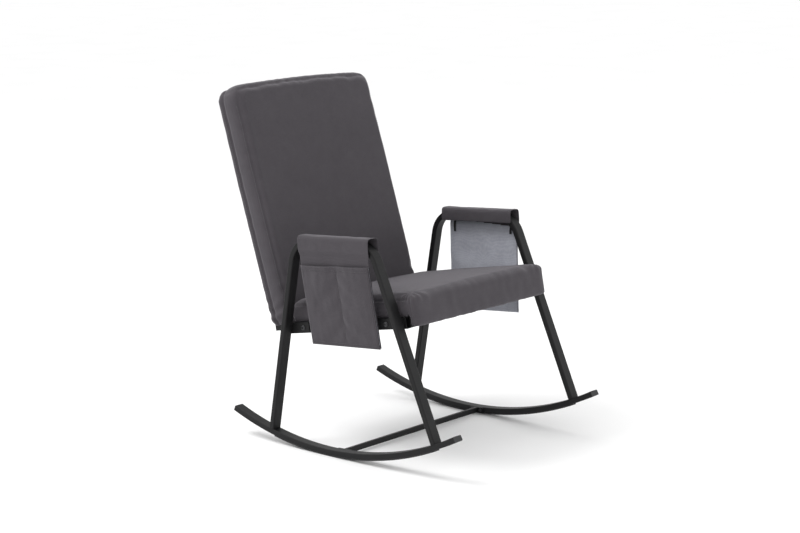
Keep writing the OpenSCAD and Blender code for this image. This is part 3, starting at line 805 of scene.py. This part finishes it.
def tape(name, y0, lean):
    """Black tape tab on the panel's reverse, hanging from under the sleeve."""
    rows = []
    for i in range(25):
        q = i / 24
        z = -0.0335 - 0.031 * q
        x = 0.0022 + 0.0022 * math.sin(math.pi * q) + 0.0006 * q
        row = []
        for j in range(7):
            u = (j / 6 - 0.5) * 0.0068
            row.append(POCKET @ Vector((x - 0.0003 * math.cos(u * 900), y0 + u + lean * q, z)))
        rows.append(row)
    verts, faces = grid(rows)
    o = new_object(name, verts, faces, [TAPE])
    thick(o, 0.0011)
    return o


sleeve = sleeve_cloth()
pouch = pouch_cloth()
tape_rear = tape("right_tape_rear", 0.093, 0.0)
tape_front = tape("right_tape_front", -0.106, 0.004)

pouch_thread = []


def pouch_line(name, coords_list):
    pts = [POCKET @ Vector((-0.006, y, z)) for y, z in coords_list]
    d = (POCKET.to_3x3() @ Vector((1, 0, 0))).normalized()
    p, n = surface_path(pouch, pts, tuple(d))
    pouch_thread.append(stitches(name, p, n, pitch=0.0048, length=0.0034, r=0.0004, lift=0.00025))


def at_s(s, z):
    rear, front = panel_edges(z)
    return rear + (front - rear) * s


N_LINE = 60
for k, inset in enumerate((0.003, 0.011)):
    pouch_line("right_hem_stitches_%d" % (k + 1),
               [(at_s(0.02 + 0.96 * i / N_LINE, -0.069), pouch_hem(0.02 + 0.96 * i / N_LINE) - inset)
                for i in range(N_LINE + 1)])
    side_in = (0.003 + 0.005 * k) / PANEL_W
    for nm, s_edge in (("rear", side_in), ("front", 1 - side_in)):
        pouch_line("right_%s_edge_stitches_%d" % (nm, k + 1),
                   [(at_s(s_edge, -0.079 - 0.197 * i / N_LINE), -0.079 - 0.197 * i / N_LINE)
                    for i in range(N_LINE + 1)])
    pouch_line("right_foot_stitches_%d" % (k + 1),
               [(at_s(0.02 + 0.96 * i / N_LINE, -0.278),
                 pocket_bottom(0.02 + 0.96 * i / N_LINE) + 0.003 + 0.005 * k)
                for i in range(N_LINE + 1)])
    pouch_line("right_centre_stitches_%d" % (k + 1),
               [(at_s(POUCH_SEAM, -0.074 - 0.203 * i / N_LINE) + (0.002 if k else -0.002),
                 -0.074 - 0.203 * i / N_LINE) for i in range(N_LINE + 1)])


def join(name, objs):
    """Several thread runs as one piece."""
    bm = bmesh.new()
    for o in objs:
        bm.from_mesh(o.data)
    me = bpy.data.meshes.new(name)
    bm.to_mesh(me)
    bm.free()
    me.materials.append(THREAD)
    me.polygons.foreach_set("use_smooth", [True] * len(me.polygons))
    out = bpy.data.objects.new(name, me)
    bpy.context.scene.collection.objects.link(out)
    for o in objs:
        bpy.data.objects.remove(o)
    return out


pouch_seams = join("right_pouch_stitches", pouch_thread)
seat_seams = join("seat_stitches", seat_thread)
back_seams = join("back_stitches", back_thread)


# sleeve end hems: a line of stitches round each open end
def sleeve_hem(name, y):
    d_list, pts = [], []
    for a in range(-20, 201, 6):
        r = math.radians(a)
        pts.append(ARM @ Vector((0.024 * math.cos(r), y, -0.006 + 0.016 * math.sin(r))))
        d_list.append(tuple(ARM.to_3x3() @ Vector((-math.cos(r), 0, -math.sin(r)))))
    p, n = surface_path(sleeve, pts, d_list)
    return stitches(name, p, n, pitch=0.0052, length=0.0036, r=0.0004, lift=0.00025)


hem_seams = join("right_sleeve_stitches", [sleeve_hem("h1", 0.107), sleeve_hem("h2", -0.121)])


# ---------------------------------------------------------------- arm pad
def arm_pad():
    """Foam folded over the arm tube, rounded at its edges."""
    out, inn, cut = 0.0162, 0.0153, 0.0045
    top_o, top_i, low = 0.0033, 0.0004, -0.0138
    sec = [(-out, low), (-out, top_o - cut), (-out + cut, top_o), (out - cut, top_o),
           (out, top_o - cut), (out, low), (inn, low), (inn, top_i), (-inn, top_i), (-inn, low)]
    n = 24
    verts, faces = [], []
    for i in range(n + 1):
        y = 0.0755 - 0.143 * i / n
        for x, z in sec:
            wob = 0.0003 * noise.noise(Vector((y * 60, x * 90, z * 90)))
            verts.append(ARM @ Vector((x, y, z + (wob if z > 0.002 else 0))))
    m = len(sec)
    for i in range(n):
        for j in range(m):
            faces.append((i * m + j, i * m + (j + 1) % m, (i + 1) * m + (j + 1) % m, (i + 1) * m + j))
    for base, order in ((0, 1), (n * m, -1)):
        for quad in ((0, 1, 8, 9), (1, 2, 7, 8), (2, 3, 7), (3, 4, 7), (4, 5, 6, 7)):
            f = tuple(base + q for q in quad)
            faces.append(f[::order])
    o = new_object("right_pad", verts, faces, [FOAM])
    bm = bmesh.new()
    bm.from_mesh(o.data)
    bmesh.ops.recalc_face_normals(bm, faces=bm.faces)
    bm.to_mesh(o.data)
    bm.free()
    return o


pad = arm_pad()


# ---------------------------------------------------------------- webbing, lining, closure
def band(x_half, y0, y1, z, sag):
    """One flat elastic band with a slight sag."""
    n, m = 40, 8
    rows = []
    for i in range(n + 1):
        s = i / n
        dip = sag * math.sin(math.pi * s)
        rows.append([Vector((-x_half + 2 * x_half * s, y0 + (y1 - y0) * j / m, z - dip))
                     for j in range(m + 1)])
    return rows


def bands(name, frame_m, items, t, sag, axis_mat):
    verts, faces = [], []
    for x_half, y0, y1, z in items:
        v, f = grid(band(x_half, y0, y1, z, sag))
        base = len(verts)
        verts += v
        faces += [tuple(base + k for k in q) for q in f]
    o = new_object(name, verts, faces, [WEB])
    thick(o, t)
    modify(o, "BEVEL", width=0.0003, segments=2, limit_method="ANGLE", angle_limit=math.radians(50))
    bake(o)
    return place(o, frame_m @ axis_mat)


seat_web = bands("seat_bands", SEAT,
                 [(0.2638, -0.452 + 0.054 * i + 0.006, -0.452 + 0.054 * i + 0.054, -0.0037)
                  for i in range(6)],
                 0.0018, 0.0035, Matrix.Identity(4))
# the back bands stand on edge: x across, z up the back
back_web = bands("back_bands", BACK,
                 [(0.248, 0.040 + 0.072 * i, 0.082 + 0.072 * i, -0.0558) for i in range(8)],
                 0.0018, 0.0, Matrix.Rotation(math.radians(90), 4, "X"))


def lining():
    rows = []
    for i in range(53):
        row = []
        for j in range(49):
            x = -0.256 + 0.512 * i / 52
            y = -0.0540 - 0.394 * j / 48
            z = -0.0018 + 0.00035 * noise.noise(Vector((x * 30, y * 22, 1.0)))
            row.append(SEAT @ Vector((x, y, z)))
        rows.append(row)
    v, f = grid(rows)
    o = new_object("seat_lining", v, f, [LINING])
    thick(o, 0.0007)
    return o


lining_cloth = lining()


def closure():
    """The hem flap under the back: gathered along its rear edge."""
    rows = []
    for i in range(97):
        x = -0.249 + 0.498 * i / 96
        row = []
        for j in range(25):
            u = j / 24
            y = 0.0225 + 0.0565 * u
            ruck = 0.0011 * math.sin(x * 190 + 2 * noise.noise(Vector((x * 20, 0, 0)))) * u
            row.append(BACK @ Vector((x, y, -0.0057 + ruck)))
        rows.append(row)
    v, f = grid(rows)
    o = new_object("back_closure_flap", v, f, [FABRIC])
    thick(o, 0.0012)
    return o


flap = closure()

# ---------------------------------------------------------------- the left side
twins = {}
for o in (sleeve, pouch, tape_rear, tape_front, pouch_seams, hem_seams, pad):
    twins[o.name] = mirrored(o, o.name.replace("right_", "left_"))

# ---------------------------------------------------------------- bodies
pairs = {"right": (sleeve, pouch, tape_rear, tape_front, pouch_seams, hem_seams, pad),
         "left": tuple(twins[o.name] for o in (sleeve, pouch, tape_rear, tape_front, pouch_seams,
                                                hem_seams, pad))}
for side, (slv, pch, tr, tf, ps, hs, pd) in pairs.items():
    body = side + "_pocket"
    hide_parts(side + "_arm_sleeve", side + "_pocket_panel")
    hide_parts(side + "_pocket_pouch")
    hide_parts(side + "_pocket_tabs")
    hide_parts(side + "_pocket_tabs")
    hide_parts(side + "_arm_pad")
    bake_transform(slv)
    for o in (pch, tr, tf, ps):
        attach(o, body)
    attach(hs, "chair")
    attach(pd, "chair")

for o in (seat, back, seat_seams, back_seams, seat_web, back_web, lining_cloth, flap):
    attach(o, "chair")
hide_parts("seat_cover", "seat_foam")
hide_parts("back_cover", "back_foam")
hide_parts("seat_webbing")
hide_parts("back_webbing")
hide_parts("seat_underlining")
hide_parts("back_cover_closure")

# ---------------------------------------------------------------- studio
def studio():
    m = Nodes("studio_floor")
    tone = m.noise(3.0, 2.0, 0.4)
    floor_mat = m.done(Base_Color=m.mix(m.ramp(tone, 0.3, 0.7, 0.0, 1.0), rgb(0.88, 0.88, 0.88),
                                        rgb(0.90, 0.90, 0.90)), Roughness=0.75,
                       Specular_IOR_Level=0.15)
    floor = new_object("floor", [(-30, -30, -0.0004), (30, -30, -0.0004), (30, 30, -0.0004),
                                 (-30, 30, -0.0004)], [(0, 1, 2, 3)], [floor_mat], False)
    world = bpy.data.worlds.new("studio")
    bpy.context.scene.world = world
    world.use_nodes = True
    bg = world.node_tree.nodes["Background"]
    bg.inputs["Color"].default_value = (1.0, 1.0, 1.0, 1.0)
    bg.inputs["Strength"].default_value = 1.12

    def area(name, loc, aim, size, power):
        data = bpy.data.lights.new(name, "AREA")
        data.shape = "DISK"
        data.size = size
        data.energy = power
        o = bpy.data.objects.new(name, data)
        bpy.context.scene.collection.objects.link(o)
        o.location = loc
        o.rotation_euler = (Vector(aim) - Vector(loc)).to_track_quat("-Z", "Y").to_euler()

    area("key", (-1.6, 1.6, 3.2), (0, 0, 0.4), 1.8, 72)
    area("fill", (-3.2, -3.0, 2.6), (0, 0, 0.5), 3.0, 18)
    area("front", (2.6, -3.0, 1.8), (0, 0, 0.4), 2.4, 14)


def camera():
    data = bpy.data.cameras.new("camera")
    data.sensor_width = 36.0
    data.lens = 90.9
    o = bpy.data.objects.new("camera", data)
    bpy.context.scene.collection.objects.link(o)
    o.location = (-4.0727, -3.4321 + CY, 1.4832)
    o.rotation_euler = (math.radians(90 - 10.91), 0, math.radians(-49.86))
    data.clip_end = 100
    bpy.context.scene.camera = o


studio()
camera()
bpy.context.scene.view_settings.view_transform = "Standard"
bpy.context.scene.frame_set(1)
